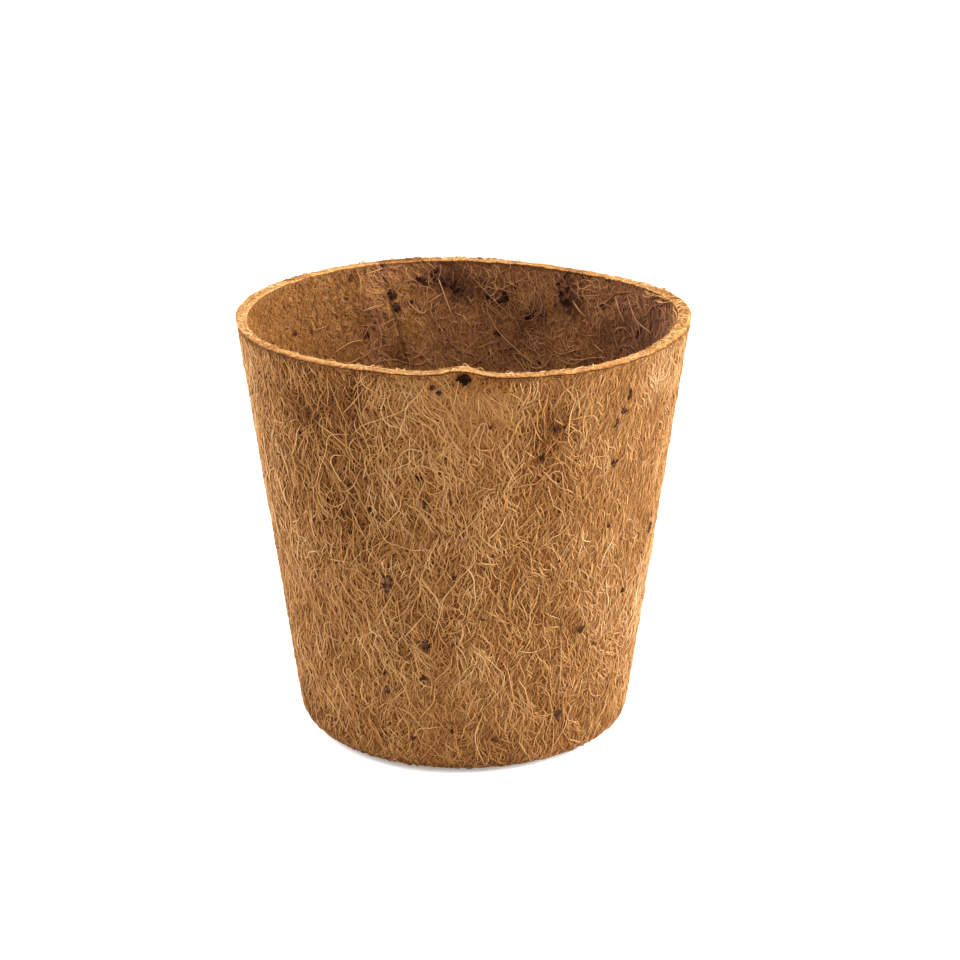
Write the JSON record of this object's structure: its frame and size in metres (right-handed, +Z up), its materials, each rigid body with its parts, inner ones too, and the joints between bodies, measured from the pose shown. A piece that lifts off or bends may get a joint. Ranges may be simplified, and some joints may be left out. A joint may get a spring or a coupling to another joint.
{
  "type": "coir plant pot",
  "caption": "Small tapered round plant pot of pressed coconut-fibre felt, with lapped wall petals, a trimmed rim and a flat closed floor, for raising and planting out seedlings.",
  "frame": {"origin": "middle of the flat underside", "axes": "+Z up through the mouth, -Y towards the front, where the lap shows in the picture, +X to the right of that view"},
  "size_m": [0.1, 0.1, 0.096],
  "materials": {
    "coir_felt": "pressed coconut fibre felt, matt and hairy, with a dried latex binder",
    "coir_felt_floor": "pressed coconut fibre felt, matt, darker than the wall",
    "natural_latex": "dried natural rubber latex, amber and slightly shiny"
  },
  "bodies": {
    "root": {"wall_petal_front_right": "coir_felt", "wall_petal_back_right": "coir_felt", "wall_petal_back_left": "coir_felt", "wall_petal_front_left": "coir_felt", "floor_disc": "coir_felt_floor", "lap_latex_front": "natural_latex", "lap_latex_right": "natural_latex", "lap_latex_back": "natural_latex", "lap_latex_left": "natural_latex", "floor_latex": "natural_latex"}
  },
  "joints": []
}
